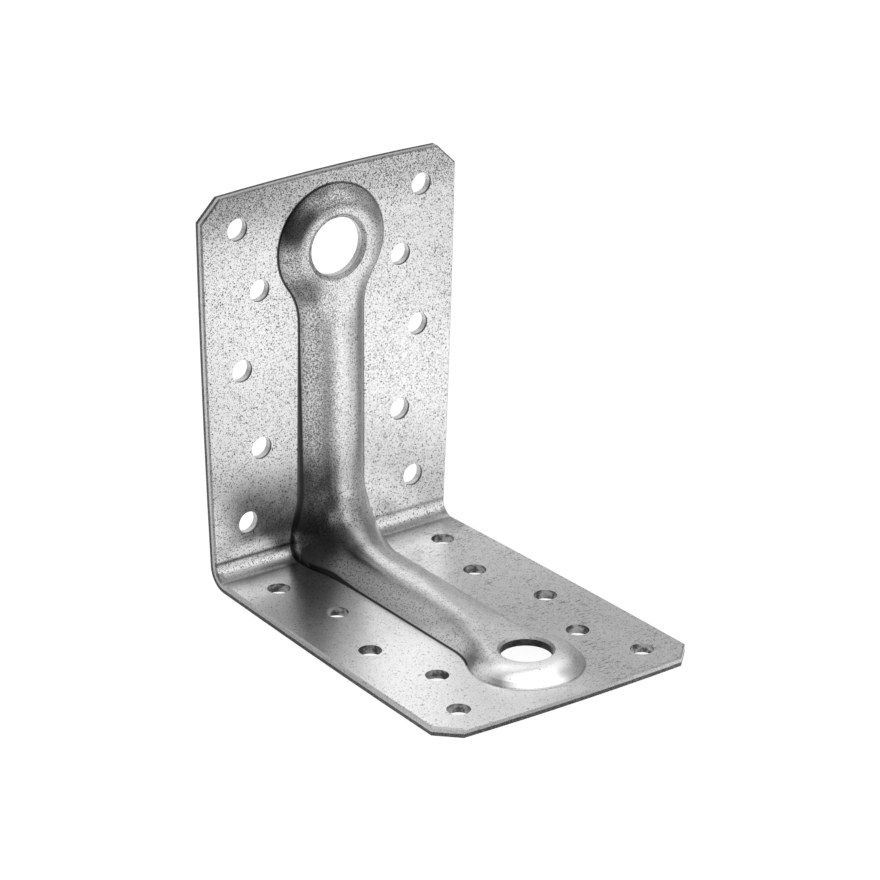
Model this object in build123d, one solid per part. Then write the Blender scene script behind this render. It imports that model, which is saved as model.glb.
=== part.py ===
from build123d import *
from dataclasses import dataclass
import math
import os

# Reinforced angle bracket for timber and concrete, one piece of pressed and folded steel sheet.
# The working origin is the heel, where the backs of the two legs would meet. The base leg runs
# along +X, the upright leg along +Z, and the width lies along Y. At the end the solid is moved so
# that the part's own origin is the middle of its underside. All sizes are in millimetres.

# Sheet and outline
sheet = 2.0                   # thickness of the steel
base_length = 88.8            # heel to the middle of the base leg's free end
upright_length = 88.8         # heel to the middle of the upright leg's free end
width = 65.0                  # across either leg at its corner cuts, where it is widest
drawn_in = 2.4                # how far the pressing has drawn in each side at the fold
side_bow = 0.3                # bulge of each side over a straight line
end_bow = 0.6                 # bulge of each free end over a straight line
bend_radius = 3.0             # inside of the fold between the legs
corner_cut = 4.7              # 45 degree cut at each free corner
edge_bevel = 0.35             # bevel that the die leaves along the outline of the inner face

# Pressed rib, which stands out on the inside of the angle and is hollow at the back
base_rise = 3.3               # crown of the rib above the inner face of the base leg
upright_rise = 2.7            # and above that of the upright leg
crown_half_width = 6.1        # centre line to where crown and flank would meet if not rounded
flank_angle = 50.0            # flank against the face of the leg
shoulder_radius = 6.0         # rounding from flank to crown
crown_bend_radius = 12.0      # on which the crown turns the corner between the legs
wall_beyond_foot = 0.3        # in the corner the rib stands on upright walls, this far out of its foot
wall_radius = 2.5             # rounding from the flanks into those walls

# Bosses at the two ends of the rib, each with a bolt hole
base_boss_from_end = 16.9     # centre of boss and bolt hole to the free end
upright_boss_from_end = 16.6
base_boss_radius = 12.3       # to the foot of the flank, on the inner face
upright_boss_radius = 13.5
neck_radius = 14.0            # hollow curve in plan where the rib widens into a boss
base_bolt_diameter = 11.0
upright_bolt_diameter = 13.0
base_lip_width = 0.5          # sloping lip round the mouth of the bolt hole
upright_lip_width = 1.0
lip_depth = 0.45              # and how deep it reaches into the hole

# Nail holes, in pairs: distance from the free end, distance from the centre line
nail_diameter = 5.0
nail_pairs = [
    (8.3, 23.5),
    (23.1, 18.1),
    (40.3, 22.7),
    (59.1, 18.0),
    (75.6, 21.5),
]

# Values that follow from those above
slope = math.radians(flank_angle)
heel_centre = sheet + bend_radius
fold_half = width / 2 - drawn_in
crown_centre_x = sheet + upright_rise + crown_bend_radius
crown_centre_z = sheet + base_rise + crown_bend_radius
margin = 2.0                  # overrun of shapes that are joined or cut
close = 0.001                 # two sizes nearer than this are the same


@dataclass
class Leg:
    """One leg: its directions, and its sizes along it from the heel and out from its faces."""

    along: tuple
    out: tuple
    length: float
    rise: float
    bend_end: float
    boss_at: float
    boss_radius: float
    bolt_diameter: float
    lip_width: float

    def plane(self, height):
        """Plane parallel to the leg: x from heel to free end, y across, z into the angle."""
        return Plane(origin=Vector(self.out) * height, x_dir=self.along, z_dir=self.out)


base = Leg(
    along=(1, 0, 0),
    out=(0, 0, 1),
    length=base_length,
    rise=base_rise,
    bend_end=crown_centre_x,
    boss_at=base_length - base_boss_from_end,
    boss_radius=base_boss_radius,
    bolt_diameter=base_bolt_diameter,
    lip_width=base_lip_width,
)
upright = Leg(
    along=(0, 0, 1),
    out=(1, 0, 0),
    length=upright_length,
    rise=upright_rise,
    bend_end=crown_centre_z,
    boss_at=upright_length - upright_boss_from_end,
    boss_radius=upright_boss_radius,
    bolt_diameter=upright_bolt_diameter,
    lip_width=upright_lip_width,
)
legs = [base, upright]


def keyhole(half_width, radius, neck, boss_at):
    """Outline of the rib and its boss in plan, with tangent curves at the neck."""
    along = math.sqrt((radius + neck) ** 2 - (half_width + neck) ** 2)
    share = radius / (radius + neck)
    turn = math.degrees(math.asin(along / (radius + neck)))
    neck_at = boss_at - along
    touch_x = boss_at - along * share
    touch_y = (half_width + neck) * share
    lines = [
        Line((0, half_width), (0, -half_width)),
        Line((0, -half_width), (neck_at, -half_width)),
        JernArc((neck_at, -half_width), (1, 0), neck, -turn),
        ThreePointArc((touch_x, -touch_y), (boss_at + radius, 0), (touch_x, touch_y)),
        JernArc((neck_at, half_width), (1, 0), neck, turn),
        Line((neck_at, half_width), (0, half_width)),
    ]
    return make_face(lines)


def crown_half(depth):
    """Half the width between flanks at the crown of a surface that lies a depth behind the front."""
    return crown_half_width - depth * math.tan(slope / 2)


def leg_rib(leg, depth):
    """Rib and boss on one leg, their surface lying a depth behind the front of the sheet."""
    under_face = margin / math.tan(slope)
    half_width = crown_half(depth) + leg.rise / math.tan(slope) + under_face
    shift = under_face - depth * math.tan(slope / 2)
    outline = keyhole(half_width, leg.boss_radius + shift, neck_radius - shift, leg.boss_at)
    block = extrude(outline, amount=margin + leg.rise, taper=90 - flank_angle)
    crown = block.faces().sort_by(Axis.Z)[-1]
    shoulders = crown.edges().filter_by(lambda edge: edge.center().X > half_width / 2)
    block = fillet(shoulders, shoulder_radius - depth)
    heel_end = Box(2 * leg.bend_end, 2 * width, 4 * (margin + leg.rise))
    return leg.plane(sheet - depth - margin) * (block - heel_end)


def corner_rib(depth):
    """Rib where it turns the corner: its section swept round the centre of the crown's bend.

    The corner is deeper than the rib on the legs, so its flanks end in walls square to the fold.
    """
    crown_height = crown_centre_z - crown_bend_radius - depth
    to_fold = math.hypot(crown_centre_x - heel_centre, crown_centre_z - heel_centre)
    low_height = crown_centre_z - to_fold - bend_radius - sheet - margin
    top_half = crown_half(depth)
    back_foot = crown_half(sheet) + max(base_rise, upright_rise) / math.tan(slope)
    wall_half = back_foot + wall_beyond_foot + sheet - depth
    wall_top = crown_height - (wall_half - top_half) * math.tan(slope)
    outline = Polyline(
        (-wall_half, low_height),
        (wall_half, low_height),
        (wall_half, wall_top),
        (top_half, crown_height),
        (-top_half, crown_height),
        (-wall_half, wall_top),
        close=True,
    )
    section = make_face(outline)
    section = fillet(section.vertices().group_by(Axis.Y)[1], wall_radius - depth)
    section = fillet(section.vertices().group_by(Axis.Y)[-1], shoulder_radius - depth)
    standing = Plane(origin=(crown_centre_x, 0, 0), x_dir=(0, 1, 0), z_dir=(1, 0, 0))
    turning_axis = Axis((crown_centre_x, 0, crown_centre_z), (0, 1, 0))
    return revolve(standing * section, turning_axis, 90)


def space_in_front(depth, overrun):
    """All the space in front of a surface that lies a depth behind the front of the sheet.

    The foot of the rib is a sharp line on the front, so farther back its radius is the depth.
    """
    face_height = sheet - depth
    fold_radius = bend_radius + depth
    size_x = base_length + overrun - face_height
    size_z = upright_length + overrun - face_height
    block = Box(size_x, width + 2 * overrun, size_z, align=(Align.MIN, Align.CENTER, Align.MIN))
    block = Pos(face_height, 0, face_height) * block
    heel = block.edges().filter_by(Axis.Y).sort_by(lambda edge: edge.center().X + edge.center().Z)
    block = fillet(heel[0], fold_radius)
    block = block - corner_rib(depth)
    for leg in legs:
        block = block - leg_rib(leg, depth)

    if not depth:
        return block

    def is_foot(edge):
        middle = edge.center()
        from_fold = math.hypot(middle.X - heel_centre, middle.Z - heel_centre)
        on_leg = min(middle.X, middle.Z) < face_height + close
        in_fold = max(middle.X, middle.Z) < heel_centre and from_fold > fold_radius - close
        inside = abs(middle.Y) < width / 2 - close and max(middle.X, middle.Z) < max(size_x, size_z)
        fold_line = edge.geom_type == GeomType.LINE and abs(edge.tangent_at(0.5).Y) > 1 - close
        return (on_leg or in_fold) and inside and not fold_line

    return fillet(block.edges().filter_by(is_foot), depth)


def bolt_cutter(leg):
    """Bolt hole through a boss, its mouth drawn in where the punch entered."""
    radius = leg.bolt_diameter / 2
    lip_width = leg.lip_width
    crown = sheet + leg.rise
    lines = [
        Line((0, -margin), (radius, -margin)),
        Line((radius, -margin), (radius, crown - lip_depth)),
        Line((radius, crown - lip_depth), (radius + lip_width, crown)),
        Line((radius + lip_width, crown), (radius + lip_width, crown + margin)),
        Line((radius + lip_width, crown + margin), (0, crown + margin)),
        Line((0, crown + margin), (0, -margin)),
    ]
    profile = Plane.XZ * make_face(lines)
    return leg.plane(0) * Pos(leg.boss_at, 0, 0) * revolve(profile, Axis.Z)


def nail_cutters(leg):
    """Nail holes of one leg, straight through the sheet."""
    cutters = []
    for from_end, from_centre in nail_pairs:
        for side in (-1, 1):
            place = leg.plane(sheet / 2) * Pos(leg.length - from_end, side * from_centre, 0)
            cutters.append(place * Cylinder(nail_diameter / 2, sheet + 2 * margin))
    return cutters


def outline_cutter(leg):
    """What the outline leaves off a leg: bowed sides, a bowed free end and two cut corners."""
    end = leg.length - end_bow
    side_end = end - corner_cut
    side_middle = (heel_centre + side_end) / 2
    middle_half = (fold_half + width / 2) / 2 + side_bow
    end_half = width / 2 - corner_cut
    lines = [
        Line((heel_centre, fold_half), (heel_centre, -fold_half)),
        ThreePointArc((heel_centre, -fold_half), (side_middle, -middle_half), (side_end, -width / 2)),
        Line((side_end, -width / 2), (end, -end_half)),
        ThreePointArc((end, -end_half), (leg.length, 0), (end, end_half)),
        Line((end, end_half), (side_end, width / 2)),
        ThreePointArc((side_end, width / 2), (side_middle, middle_half), (heel_centre, fold_half)),
    ]
    length = leg.length + margin - heel_centre
    blank = Rectangle(length, width + 2 * margin, align=(Align.MIN, Align.CENTER))
    beside = Pos(heel_centre, 0) * blank - make_face(lines)
    return leg.plane(-margin) * extrude(beside, amount=sheet + 2 * margin)


def fold_cutters():
    """What the outline leaves off the fold, on both sides of it."""
    reach = heel_centre + margin
    beside = Box(reach, 2 * drawn_in, reach)
    cutters = []
    for side in (-1, 1):
        cutters.append(Pos(reach / 2 - margin, side * width / 2, reach / 2 - margin) * beside)
    return cutters


def is_inner_outline(edge):
    """Whether an edge runs along the outline of the sheet, on the inside of the angle."""
    middle = edge.center()
    from_fold = math.hypot(middle.X - heel_centre, middle.Z - heel_centre)
    if max(middle.X, middle.Z) < heel_centre:
        return abs(from_fold - bend_radius) < close and abs(middle.Y) > fold_half - close
    leg, along = (base, middle.X) if middle.X > middle.Z else (upright, middle.Z)
    end = leg.length - end_bow
    share = (along - heel_centre) / (end - corner_cut - heel_centre)
    side_half = fold_half + share * drawn_in
    past_end = along - end
    past_side = abs(middle.Y) - side_half
    past_corner = past_end + abs(middle.Y) - width / 2 + corner_cut
    return abs(min(middle.X, middle.Z) - sheet) < close and max(past_end, past_side, past_corner) > -close


def angle_bracket():
    """The steel between the back and front surfaces, then punched, trimmed and bevelled."""
    steel = space_in_front(sheet, 0) - space_in_front(0, margin)
    for leg in legs:
        steel = steel - bolt_cutter(leg)
        steel = steel - nail_cutters(leg)
        steel = steel - outline_cutter(leg)
    steel = steel - fold_cutters()
    steel = chamfer(steel.edges().filter_by(is_inner_outline), edge_bevel)
    return Pos(-base_length / 2, 0, 0) * steel


os.makedirs("parts", exist_ok=True)
export_step(angle_bracket(), "parts/angle_bracket.step")
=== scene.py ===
import math

import bmesh
import bpy
from mathutils import Matrix, Vector


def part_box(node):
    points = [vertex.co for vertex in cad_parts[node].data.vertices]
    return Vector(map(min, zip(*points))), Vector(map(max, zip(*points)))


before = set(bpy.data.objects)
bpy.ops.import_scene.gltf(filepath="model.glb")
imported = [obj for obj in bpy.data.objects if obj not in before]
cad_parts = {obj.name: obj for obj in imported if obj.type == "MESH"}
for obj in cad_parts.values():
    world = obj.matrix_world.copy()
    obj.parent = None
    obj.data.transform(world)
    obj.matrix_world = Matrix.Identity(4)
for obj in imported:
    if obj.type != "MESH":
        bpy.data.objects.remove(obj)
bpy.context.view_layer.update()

scene = bpy.context.scene
millimetre = 0.001


# Camera
# A long lens about a metre away and 24 degrees up. It looks into the angle, past the free end of the
# base leg and one of its sides. Its place was fitted to the twenty nail holes and to the outline.
azimuth = math.radians(53.849)
elevation = math.radians(23.8915)
roll = math.radians(0.347)
distance = 968.39 * millimetre
target = Vector((-1.039, -1.419, 42.240)) * millimetre
sensor_width = 36.0
focal_length = 191.91
farthest_seen = 20.0

back = Vector((
    math.sin(azimuth) * math.cos(elevation),
    -math.cos(azimuth) * math.cos(elevation),
    math.sin(elevation),
))
facing = back.to_track_quat("Z", "Y").to_matrix().to_4x4()
tripod = Matrix.Translation(target + back * distance)
camera = bpy.data.objects.new("camera", bpy.data.cameras.new("camera"))
scene.collection.objects.link(camera)
camera.data.sensor_width = sensor_width
camera.data.lens = focal_length
camera.data.clip_end = farthest_seen
camera.matrix_world = tripod @ facing @ Matrix.Rotation(roll, 4, "Z")
scene.camera = camera
scene.view_settings.view_transform = "Standard"


# Studio
# A round tent of soft lights in a dim room, bright behind the bracket and dark on the camera's side.
# The steel mirrors it, so its lights give the steel its darks and highlights. Past it all is white.
room_light = 0.04
world_light = 0.5
tent_radius = 5.0
tent_subdivisions = 4
tent_brightest = 4.0
all_but_glossy = ("camera", "diffuse", "transmission", "shadow")


class Wire:
    """A socket of a node tree. Arithmetic adds Math nodes, and node() adds any other node."""

    def __init__(self, tree, socket=None):
        self.tree = tree
        self.socket = socket

    def node(self, kind, inputs=None, output=0, **settings):
        """Add a node, make its settings, then set or link its inputs, and give one of its outputs."""
        made = self.tree.nodes.new(kind)
        for name, value in settings.items():
            setattr(made, name, value)
        for key, value in (inputs or {}).items():
            socket = made.inputs[key]
            if isinstance(value, Wire):
                self.tree.links.new(value.socket, socket)
            else:
                socket.default_value = value
        return Wire(self.tree, made.outputs[output] if made.outputs else None)

    def math(self, operation, *values):
        return self.node("ShaderNodeMath", dict(enumerate(values)), operation=operation)

    def vector(self, operation, *others, output="Vector"):
        """Vector Math on this vector and any others."""
        inputs = dict(enumerate((self, *others)))
        return self.node("ShaderNodeVectorMath", inputs, output=output, operation=operation)

    def __add__(self, other):
        return self.math("ADD", self, other)

    def __radd__(self, other):
        return self.math("ADD", other, self)

    def __sub__(self, other):
        return self.math("SUBTRACT", self, other)

    def __rsub__(self, other):
        return self.math("SUBTRACT", other, self)

    def __mul__(self, other):
        return self.math("MULTIPLY", self, other)

    def __rmul__(self, other):
        return self.math("MULTIPLY", other, self)

    def __truediv__(self, other):
        return self.math("DIVIDE", self, other)

    def __rtruediv__(self, other):
        return self.math("DIVIDE", other, self)

    def __gt__(self, other):
        return self.math("GREATER_THAN", self, other)

    def __lt__(self, other):
        return self.math("LESS_THAN", self, other)

    def abs(self):
        return self.math("ABSOLUTE", self)

    def sign(self):
        return self.math("SIGN", self)

    def root(self):
        return self.math("SQRT", self)

    def least(self, other):
        return self.math("MINIMUM", self, other)

    def most(self, other):
        return self.math("MAXIMUM", self, other)

    def ramp(self, low, high, kind="SMOOTHSTEP"):
        """0 below low, 1 above high, and a smooth rise between; a fall where low is above high."""
        inputs = {"Value": self, "From Min": low, "From Max": high}
        return self.node("ShaderNodeMapRange", inputs, interpolation_type=kind, clamp=True)

    def between(self, low, high, soft):
        """1 from low to high, and 0 a soft distance outside."""
        return self.ramp(low - soft, low) * self.ramp(high + soft, high)

    def near(self, middle, reach):
        """1 at a middle value, and 0 a reach away from it on either side."""
        return (self - middle).abs().ramp(reach, 0.0)

    def parts(self):
        """The x, y and z of a vector."""
        split = self.node("ShaderNodeSeparateXYZ", {"Vector": self})
        outputs = split.socket.node.outputs
        return [Wire(self.tree, outputs[name]) for name in "XYZ"]

    def noise(self, size, detail=2.0, roughness=0.5, stretch=None):
        """Noise over this vector of places, with features of about a size in its unit."""
        place = self.vector("MULTIPLY", stretch) if stretch else self
        inputs = {"Vector": place, "Scale": 1 / size, "Detail": detail, "Roughness": roughness}
        return place.node("ShaderNodeTexNoise", inputs)


def grey(value):
    return (value, value, value, 1.0)


def mix(share, low, high):
    """Colour between low, at share 0, and high, at share 1."""
    inputs = {0: share, 6: low, 7: high}
    return share.node("ShaderNodeMix", inputs, output=2, data_type="RGBA", clamp_factor=True)


def blank_material(name):
    """A material with no nodes yet, and the wire that adds them."""
    material = bpy.data.materials.new(name)
    material.use_nodes = True
    material.node_tree.nodes.clear()
    return material, Wire(material.node_tree)


def looked_at(tree):
    """1 to the camera, in a mirror and through glass, and 0 where only the light of a thing counts."""
    to_camera = tree.node("ShaderNodeLightPath", output="Is Camera Ray")
    in_mirror = tree.node("ShaderNodeLightPath", output="Is Glossy Ray")
    through_glass = tree.node("ShaderNodeLightPath", output="Is Transmission Ray")
    return to_camera.most(in_mirror).most(through_glass)


def glowing(tree, light, brightest):
    """An emission of a light that varies, from nothing up to its brightest."""
    colour = mix(light * (1 / brightest), grey(0.0), grey(1.0))
    return tree.node("ShaderNodeEmission", {"Color": colour, "Strength": brightest})


def set_up(name, mesh, hidden_from=()):
    """Put a mesh up in the studio, out of sight of some kinds of rays."""
    thing = bpy.data.objects.new(name, mesh)
    scene.collection.objects.link(thing)
    for rays in hidden_from:
        setattr(thing, "visible_" + rays, False)
    return thing


world = bpy.data.worlds.new("studio")
scene.world = world
world.use_nodes = True
world.node_tree.nodes.clear()
sky = Wire(world.node_tree)
sky_colour = mix(looked_at(sky), grey(world_light), grey(1.0))
background = sky.node("ShaderNodeBackground", {"Color": sky_colour, "Strength": 1.0})
sky.node("ShaderNodeOutputWorld", {"Surface": background})

mesh = bpy.data.meshes.new("tent")
shell = bmesh.new()
bmesh.ops.create_icosphere(shell, subdivisions=tent_subdivisions, radius=tent_radius)
shell.to_mesh(mesh)
shell.free()
tent = set_up("tent", mesh, hidden_from=all_but_glossy)
nylon, inside = blank_material("tent")
nylon.cycles.emission_sampling = "NONE"
tent.data.materials.append(nylon)
way = inside.node("ShaderNodeTexCoord", output="Object").vector("NORMALIZE")


def soft_light(turn, height, spread, strength):
    """A light of the tent round a direction: full in its middle and gone at its spread, in degrees."""
    flat = math.cos(math.radians(height))
    x = flat * math.cos(math.radians(turn))
    y = flat * math.sin(math.radians(turn))
    z = math.sin(math.radians(height))
    toward = way.vector("DOT_PRODUCT", (x, y, z), output="Value")
    return toward.ramp(math.cos(math.radians(spread)), 1.0) * strength


# The low window is stronger in a second reflection: the base leg shows it by way of the upright leg
mirrored_twice = inside.node("ShaderNodeLightPath", output="Ray Depth") > 1.5
back_wall = soft_light(turn=90, height=24, spread=90, strength=0.36)
tall_screen = soft_light(turn=198, height=44, spread=46, strength=0.85)
corner_screen = soft_light(turn=150, height=48, spread=45, strength=0.46)
low_window = soft_light(turn=34, height=22, spread=27, strength=0.9 + 1.15 * mirrored_twice)
high_window = soft_light(turn=45, height=42, spread=16, strength=0.55)
low_panel = soft_light(turn=135, height=0, spread=20, strength=0.41)
high_panel = soft_light(turn=100, height=45, spread=25, strength=0.3)
side_glow = soft_light(turn=350, height=41, spread=21, strength=1.15)
tent_light = room_light + back_wall + tall_screen + corner_screen + low_window + low_panel
tent_light = tent_light + high_panel + high_window + side_glow
inside.node("ShaderNodeOutputMaterial", {"Surface": glowing(inside, tent_light, tent_brightest)})


# Table
# One wide sheet of paper just under the bracket. It is white to the camera and keeps a faint shadow of
# the bracket. A second sheet over it shows in the steel only: the pools of light that fall on it.
table_half = 3.0
table_drop = 0.02 * millimetre
pools_drop = 0.01 * millimetre
paper_white = 0.8
paper_shade = 0.35
paper_glow = 0.88
paper_dim = 0.23
pools_brightest = 2.0
square = [(-1, -1), (1, -1), (1, 1), (-1, 1)]


def flat_mesh(name, corners):
    """A mesh of one flat face with four corners."""
    mesh = bpy.data.meshes.new(name)
    mesh.from_pydata(corners, [], [(0, 1, 2, 3)])
    return mesh


table_corners = [(x * table_half, y * table_half, -table_drop) for x, y in square]
table = set_up("table", flat_mesh("table", table_corners))
pools_corners = [(x * table_half, y * table_half, -pools_drop) for x, y in square]
pools_sheet = set_up("pools", flat_mesh("pools", pools_corners), hidden_from=all_but_glossy)

paper, top = blank_material("table")
table.data.materials.append(paper)
lighting = top.node("ShaderNodeBsdfDiffuse", {"Color": grey(paper_white)})
shaded = top.node("ShaderNodeBsdfDiffuse", {"Color": grey(paper_shade)})
white = top.node("ShaderNodeEmission", {"Color": grey(1.0), "Strength": paper_glow})
shown = top.node("ShaderNodeAddShader", {0: shaded, 1: white})
surface = top.node("ShaderNodeMixShader", {0: looked_at(top), 1: lighting, 2: shown})
top.node("ShaderNodeOutputMaterial", {"Surface": surface})

thrown, over = blank_material("pools")
pools_sheet.data.materials.append(thrown)
spot = over.node("ShaderNodeTexCoord", output="Object")
spot = spot.vector("MULTIPLY", (1 / millimetre, 1 / millimetre, 0.0))


def pool(turn, reach, radius, strength):
    """A pool of light on the table, at a turn in degrees and a reach in millimetres from the middle."""
    x = reach * math.cos(math.radians(turn))
    y = reach * math.sin(math.radians(turn))
    away = spot.vector("DISTANCE", (x, y, 0.0), output="Value")
    return away.ramp(radius, 0.0) * strength


pools = paper_dim
pools = pools + pool(turn=45, reach=150, radius=260, strength=0.65)
pools = pools + pool(turn=30, reach=350, radius=260, strength=1.0)
pools = pools + pool(turn=45, reach=90, radius=90, strength=0.55)
pools = pools + pool(turn=75, reach=70, radius=60, strength=0.5)
pools = pools + pool(turn=105, reach=230, radius=260, strength=0.15)
pools = pools + pool(turn=180, reach=230, radius=260, strength=2.1)
pools = pools + pool(turn=300, reach=110, radius=100, strength=0.5)
pools = pools + pool(turn=300, reach=70, radius=60, strength=0.4)
pools = pools + pool(turn=315, reach=230, radius=160, strength=1.0)
pools = pools + pool(turn=345, reach=110, radius=60, strength=0.55)
over.node("ShaderNodeOutputMaterial", {"Surface": glowing(over, pools, pools_brightest)})


# Lamp
# A soft box close above the free end of the base leg, with a black card that hangs from one side of it.
# The box makes the front of the lower boss shine, and the card keeps it out of the corner.
lamp_size = Vector((105, 144)) * millimetre
lamp_place = Vector((69, -12, 85)) * millimetre
lamp_strength = 1.45
lamp_even_share = 0.85
card_width = 109 * millimetre
card_height = 25 * millimetre
card_black = 0.02
lamp_hidden_from = ("camera", "shadow", "diffuse")

lamp_corners = [(x * lamp_size.x / 2, y * lamp_size.y / 2, 0) for x, y in square]
lamp = set_up("lamp", flat_mesh("lamp", lamp_corners), hidden_from=lamp_hidden_from)
lamp.location = lamp_place
cloth, shade = blank_material("lamp")
lamp.data.materials.append(cloth)
across = shade.node("ShaderNodeTexCoord", output="Object")
across = across.vector("DIVIDE", (lamp_size.x / 2, lamp_size.y / 2, 1.0)).parts()
even = across[0].abs().ramp(1.0, lamp_even_share) * across[1].abs().ramp(1.0, lamp_even_share)
lit = shade.node("ShaderNodeEmission", {"Color": grey(1.0), "Strength": lamp_strength})
clear = shade.node("ShaderNodeBsdfTransparent")
surface = shade.node("ShaderNodeMixShader", {0: even, 1: clear, 2: lit})
shade.node("ShaderNodeOutputMaterial", {"Surface": surface})

card_corners = [(0, 0, 0), (0, card_width, 0), (0, card_width, -card_height), (0, 0, -card_height)]
card = set_up("card", flat_mesh("card", card_corners), hidden_from=lamp_hidden_from)
card.location = lamp_place - Vector((lamp_size.x / 2, lamp_size.y / 2, 0))
black, felt = blank_material("card")
card.data.materials.append(black)
dull = felt.node("ShaderNodeBsdfDiffuse", {"Color": grey(card_black)})
felt.node("ShaderNodeOutputMaterial", {"Surface": dull})


# Bracket
# One sheet of zinc-coated steel, 2 mm thick: punched, pressed and folded in one go. The coat is a pale
# satin grey with a fine dark grain. The cut edges show bare steel, burnished and then torn.
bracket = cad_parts["angle_bracket"]
sheet = 2.0
fold_centre = 5.0
base_rise = 3.3
upright_rise = 2.7
crown_half_width = 6.1
flank_run = 0.839
corner_half_width = 10.24
neck_radius = 14.0
base_boss = 71.9
upright_boss = 72.2
base_boss_radius = 12.3
upright_boss_radius = 13.5

# Places are in millimetres from the heel, the outer corner of the fold. Near is the side with y below
# 0, where the camera stands, and far is the other. A ramp is 0 at its first place and 1 at its second.
zinc, steel = blank_material("zinc_coated_steel")
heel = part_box("angle_bracket")[0]
metres = steel.node("ShaderNodeTexCoord", output="Object")
from_heel = metres.vector("ADD", (-heel.x, 0, -heel.z))
place = from_heel.vector("MULTIPLY", (1 / millimetre, 1 / millimetre, 1 / millimetre))
x, y, z = place.parts()
normal_x, normal_y, normal_z = steel.node("ShaderNodeNewGeometry", output="Normal").parts()

# How far into the angle a point lies from the back of the sheet, and how squarely it faces there
back_x = (fold_centre - x).most(0.0)
back_z = (fold_centre - z).most(0.0)
height = fold_centre - (back_x * back_x + back_z * back_z).root()
in_base = x > z
in_upright = 1 - in_base
along = x.most(z)
aside = y.abs()
near_side = y.ramp(1.0, -1.0)
square_on = in_base * normal_z + in_upright * normal_x
inner_face = square_on > 0.2
rise = in_base * base_rise + in_upright * upright_rise
raised = height > sheet + 0.3

# Cut faces: the rim goes round the outline, and the others are the walls of the holes. The walls of the
# rib in the corner aren't cut, though they face just as little into the angle.
rim_along = 87.4
rim_aside = 28.6
rim_corner = 112.5
wall_along = 17.0
wall_aside = 14.0
corner_wall = (aside < wall_aside) * (along < wall_along)
cut = square_on.abs().ramp(0.35, 0.15) * (1 - corner_wall)
rim = (aside > rim_aside).most(along > rim_along).most(aside + along > rim_corner)
hole_wall = cut * (1 - rim)

# Distance outside the foot of the rib and its bosses: a strip, a round end, and a hollow neck between
half_width = crown_half_width + rise * flank_run
boss_at = in_base * base_boss + in_upright * upright_boss
boss_radius = in_base * base_boss_radius + in_upright * upright_boss_radius
neck_out = half_width + neck_radius
reach = boss_radius + neck_radius
neck_back = (reach * reach - neck_out * neck_out).root()
neck_at = boss_at - neck_back
neck_end = boss_at - neck_back * boss_radius / reach
from_boss = ((along - boss_at) * (along - boss_at) + y * y).root()
from_neck = ((along - neck_at) * (along - neck_at) + (aside - neck_out) * (aside - neck_out)).root()
in_neck = (along > neck_at) * (along < neck_end)
past_neck = along > neck_end
outside = (1 - in_neck - past_neck) * (aside - half_width) + in_neck * (neck_radius - from_neck)
outside = outside + past_neck * (from_boss - boss_radius)
foot_off = outside - along.ramp(16.0, 6.0) * (corner_half_width - half_width)
on_rib = outside.ramp(0.5, -1.5) * inner_face
low_boss = in_base * past_neck

# Painted shade in the crease at the foot of the rib, wider on its near side towards the corner, faint
# round the low boss
crease_shade_width = 0.30
crease_shade_growth = 0.65
deep = in_upright * along.ramp(52.0, 12.0, "LINEAR") + in_base * along.ramp(26.0, 9.0)
off_crease = foot_off.abs() / (crease_shade_width + crease_shade_growth * near_side * deep)
in_foot = height.ramp(sheet + 1.1, sheet + 0.5)
crease_shade = off_crease.ramp(1.0, 0.55) * in_foot * inner_face * (1 - 0.75 * low_boss)

# The crown of the rib is a little rounded across, and more so where it turns the corner
straight_radius = 11.0
turn_radius = 7.5
steepest = 0.75
crown_radius = straight_radius - (straight_radius - turn_radius) * along.ramp(32.0, 20.0)
on_crown = inner_face * raised * aside.ramp(8.9, 8.0) * along.ramp(60.0, 54.0)
wanted = (aside / crown_radius).least(steepest).most(normal_y.abs()) * y.sign()
lean = normal_y + (wanted - normal_y) * on_crown
upright_part = (1 - lean * lean).most(0.0).root()
level = (normal_x * normal_x + normal_z * normal_z).root().most(0.01)
rounded = steel.node("ShaderNodeCombineXYZ", {
    "X": normal_x / level * upright_part,
    "Y": lean,
    "Z": normal_z / level * upright_part,
})


def paint(ground, layers):
    """Lay greys over a ground one after another, each with its mask and its strength."""
    for mask, strength, shade in layers:
        ground = mix(mask * strength, ground, grey(shade))
    return ground


def round_patch(centre, full, gone):
    """A round patch: 1 within its full radius, and 0 past the radius where it is gone."""
    return place.vector("DISTANCE", centre, output="Value").ramp(gone, full)


# The coat under its grain: mottled. Over it, painted highlights and sheen make paler places, and painted
# shade and painted dark reflections make darker ones, such as a band at the free end and the far flank of
# the rib
mottle = place.noise(size=2.2, detail=3.0, roughness=0.65)
patchy = 0.8 + 0.5 * (mottle - 0.5)
# Painted sheen on the upright leg, stronger on its near half
near_half_sheen = y.ramp(-10.0, -18.0)
# A band of painted shade at the free end of the upright leg, where the grain also gathers
end_shade_and_grain = in_upright * along.ramp(77.0, 84.0)
# Painted highlight on the crest of the upper boss
boss_crest_highlight = in_upright * past_neck * raised * z.ramp(76.0, 82.0) * y.between(-5.0, 8.0, 3.0)
# Painted highlight on the front of the lower boss
boss_front_highlight = low_boss * raised * x.ramp(68.0, 78.0) * y.ramp(8.0, 2.0)
# Painted highlights on the front and the heel of the base leg
base_front_highlight = in_base * y.ramp(-4.0, -12.0) * x.ramp(36.0, 55.0)
base_heel_highlight = in_base * y.ramp(-16.5, -22.5) * x.ramp(28.0, 17.0)
# Painted shade on the far half of the base leg
far_base_shade = in_base * y.ramp(0.0, 10.0) * x.ramp(15.0, 60.0)
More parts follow.
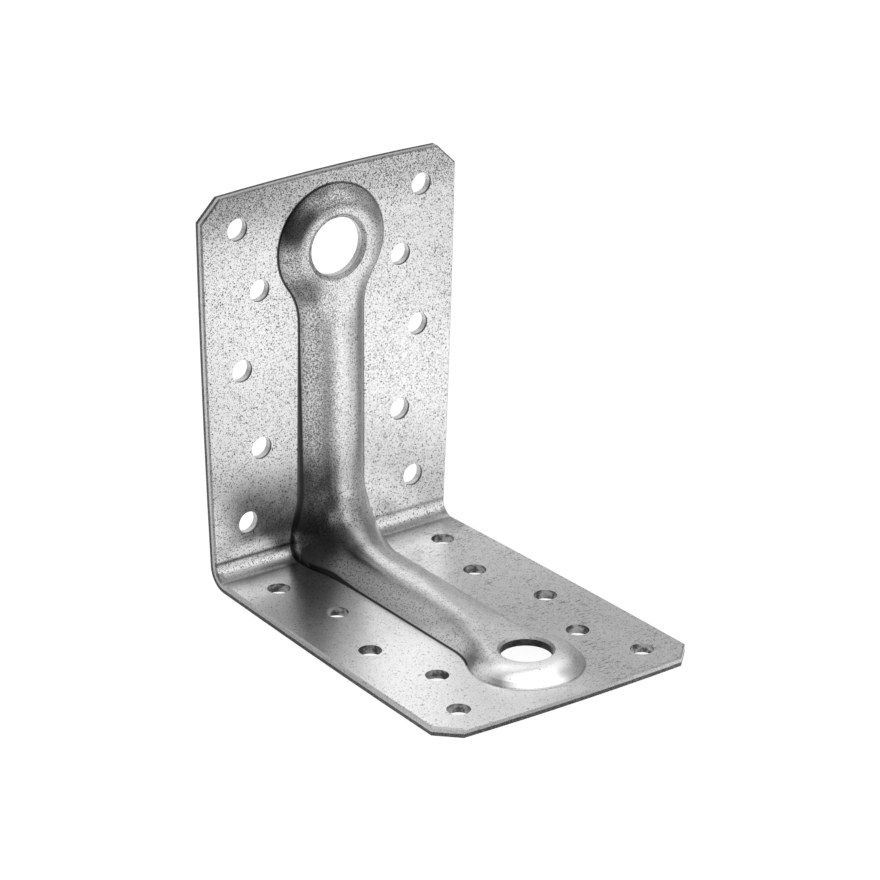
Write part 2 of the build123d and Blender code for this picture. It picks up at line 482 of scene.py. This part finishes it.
# Painted sheen on the near flank of the base rib, which is also duller
near_flank = in_base * on_rib * y.ramp(-3.0, -6.0) * along.between(16.0, 45.0, 6.0)
# Painted shade on the far flank of the upright rib
far_flank_shade = in_upright * on_rib * y.ramp(3.8, 5.8) * along.ramp(66.0, 58.0) * z.ramp(16.0, 28.0)
# Painted shade in a band down the crown of the upright rib, darker lower down
crown_shade_band = in_upright * on_crown * y.near(-2.6, 2.2) * z.ramp(64.0, 40.0)

# The fold, from 0 at the upright leg to 1 at the base leg, with a painted highlight and painted shade
# across it, and the painted shadow that it throws on the base
in_fold = (back_x > 0.6) * (back_z > 0.6)
fold_turn = back_z / (back_x + back_z + 0.01)
fold_highlight = in_fold * fold_turn.near(0.22, 0.22)
fold_middle_shade = in_fold * fold_turn.near(0.65, 0.3)
fold_shade = in_base * (1 - on_rib) * x.ramp(13.0, 4.0, "LINEAR") * (x > fold_centre)
fold_shade = fold_shade * y.ramp(-34.0, -22.0)

# Painted dark reflections: beside the rib on both legs, and over the rib where it turns the corner
upright_dark_reflection = in_upright * z.ramp(30.0, 15.0) * z.ramp(7.0, 10.0)
upright_dark_reflection = upright_dark_reflection * y.ramp(-31.0, -21.0) * y.ramp(-6.0, -9.0)
base_dark_reflection = in_base * round_patch(centre=(22.0, -14.0, 2.0), full=7.0, gone=17.0) * (1 - on_rib)
past_turn = along - 7.0 * in_upright
turn_dark_reflection = inner_face * raised * past_turn.ramp(22.5, 12.5) * y.ramp(1.8, -1.2) * aside.ramp(12.0, 6.5)
dark_reflections = (upright_dark_reflection * 1.1 + base_dark_reflection * 0.12) * inner_face + turn_dark_reflection * 1.1
# Painted dark reflections on the near slope of the upper boss and beside its neck
boss_dark_reflection = round_patch(centre=(4.0, -9.6, 79.3), full=3.0, gone=7.0) * from_boss.ramp(8.8, 10.2)
boss_dark_reflection = boss_dark_reflection * inner_face * in_upright * (height > sheet + 0.2)
neck_dark_reflection = round_patch(centre=(4.7, -7.3, 63.8), full=1.5, gone=5.5) * inner_face
dark_reflection_spots = (boss_dark_reflection * 0.8).most(neck_dark_reflection * 0.75)

# Every layer laid over the mottle here is painted light or shade: highlights, sheen, shade and dark
# reflections
tone = paint(mix(mottle.ramp(0.3, 0.7), grey(0.68), grey(0.78)), [
    (in_upright, 0.2 + 0.25 * near_half_sheen, 0.95),
    (boss_crest_highlight, 0.9, 0.97),
    (boss_front_highlight, 0.95, 0.95),
    (fold_middle_shade, 0.5, 0.34),
    (fold_highlight, 1.0, 0.98),
    (base_front_highlight.most(base_heel_highlight), 0.85, 0.92),
    (fold_shade, 0.75 + 0.2 * near_side, 0.20),
    (far_base_shade, 0.6, 0.48),
    (end_shade_and_grain, 0.35, 0.42),
    (dark_reflections, patchy, 0.16),
    (far_flank_shade, 0.7, 0.22),
    (crown_shade_band, 0.32, 0.15),
    (dark_reflection_spots, patchy, 0.06),
    (near_flank, 0.9, 0.98),
])

# Dark grain of the coat: fine specks, which gather in cloudy patches, and rare larger spots
cloud = place.noise(size=9.0, detail=3.0)
fine = place.noise(size=0.26, detail=1.0, roughness=0.6)
crowd = 0.10 * cloud + on_rib * in_upright * (0.02 + 0.05 * near_side) + 0.05 * end_shade_and_grain
threshold = 0.63 - crowd * (1.0 - 0.35 * in_base)
specks = (fine - threshold).ramp(0.0, 0.06) * (0.4 + 0.3 * in_upright)
spots = place.noise(size=0.8, detail=1.0).ramp(0.70, 0.76)

# Round dark points among the specks, at most one to a cell, each of its own size and grey. The share of
# the cells that have one is higher on the upright leg and on the near half of the rib.
point_cell = 0.5
cells = {"Vector": place, "Scale": 1 / point_cell}
from_point = place.node("ShaderNodeTexVoronoi", cells, output="Distance")
point_tone, point_draw, point_size = place.node("ShaderNodeTexVoronoi", cells, output="Color").parts()
share = 0.28 + 0.17 * in_upright + 0.55 * on_rib * near_side + 0.35 * end_shade_and_grain + 0.6 * (cloud - 0.5)
# More points on the far half of the base leg, fewer on its near side and on the painted highlight of the
# lower boss
share = share + in_base * (0.2 * y.ramp(0.0, 8.0) - 0.14 * near_side * (1 - on_rib)) - 0.25 * boss_front_highlight
points = (point_draw < share) * from_point.ramp(0.34 + 0.22 * point_size, 0.2)
points = points * (0.45 + 0.55 * point_tone)
# Fewer specks on that painted highlight too
specks = specks.most(points * (0.75 + 0.25 * in_upright)) * (1 - 0.7 * boss_front_highlight)

# Marks over the grain: short scratches, a line of painted shade on each side of the fold, painted shade
# on the bolt hole lips, and the bevel
base_lip = 6.05
upright_lip = 7.4
scratches = place.noise(size=0.4, detail=1.0, stretch=(1.0, 0.16, 1.0)).ramp(0.60, 0.66)
scratches = scratches * in_base * y.ramp(2.0, 8.0) * cloud.ramp(0.45, 0.56)
# A line of painted shade where the fold meets each leg
fold_shade_lines = in_upright * z.near(5.4, 0.8) * (0.5 + 0.4 * near_side) + in_base * x.near(4.8, 0.5) * 0.5
fold_shade_lines = fold_shade_lines * inner_face * (foot_off > 0.0)
# The lips round the bolt holes, darkened with painted shade of their rolled edges
lip = from_boss < in_base * base_lip + in_upright * upright_lip
lip = lip * (height < sheet + rise - 0.03) * inner_face
bevel = rim * square_on.between(0.5, 0.85, 0.05)
coat = paint(tone, [
    (specks, 1.0, 0.04),
    (spots, 0.6, 0.20),
    (scratches, 0.7, 0.12),
    # Painted shade beside the fold, in the crease at the foot of the rib and on the lips of the bolt
    # holes
    (fold_shade_lines, 1.0, 0.08),
    (crease_shade, 0.75 + 0.2 * near_side, 0.05),
    (lip, 0.3 + 0.15 * in_base, 0.20),
    (bevel, 0.4, 0.30),
])

# Cut edges: burnished towards the inside of the angle, torn and dark towards the back
streak = place.noise(size=0.25, detail=2.0)
burnished = mix(streak.ramp(0.35, 0.65), grey(0.45), grey(0.70))
torn = mix(streak.ramp(0.35, 0.65), grey(0.05), grey(0.22))
edge_height = height - (height > sheet + 0.1) * rise
tear = (edge_height + 0.25 * mottle).ramp(1.05, 0.9)
edge = mix(tear, burnished, torn)

# Hole walls: pitted in the base leg, with painted shade in the bolt hole, and shiny in the upright leg
# with a band of painted shade at the mouth
in_bolt_hole = in_base * (from_boss < 6.5)
pitted = mix(mottle.ramp(0.40, 0.60), grey(0.10), grey(0.50))
pitted = mix(in_bolt_hole * 0.9, pitted, grey(0.04))
edge = mix(hole_wall * in_base, edge, pitted)
mouth = sheet + rise * (from_boss < 8.0) - 0.2
shiny = mix(streak.ramp(0.35, 0.5), grey(0.60), grey(0.92))
shiny = mix(height.near(mouth, 0.7) * 0.9, shiny, grey(0.03))
edge = mix(hole_wall * in_upright, edge, shiny)

# Satin gloss, duller on the specks, the cut edges and the near flank of the base rib, with fine bumps
satin = 0.27
bump_strength = 0.12
bump_height = 0.05 * millimetre
roughness = satin + 0.16 * specks + 0.06 * mottle
roughness = roughness + 0.06 * in_fold + 0.33 * near_flank + 0.2 * lip + 0.15 * bevel
roughness = roughness + cut * (0.08 + 0.12 * tear) + 0.25 * hole_wall * in_upright
bumps = place.noise(size=0.5, detail=2.5, roughness=0.6)
bump = bumps.node("ShaderNodeBump", {
    "Strength": bump_strength,
    "Distance": bump_height,
    "Height": bumps,
    "Normal": rounded,
})
finish = steel.node("ShaderNodeBsdfPrincipled", {
    "Base Color": mix(cut, coat, edge),
    "Metallic": 1.0,
    "Roughness": roughness,
    "Normal": bump,
})
steel.node("ShaderNodeOutputMaterial", {"Surface": finish})
bracket.material_slots[0].material = zinc
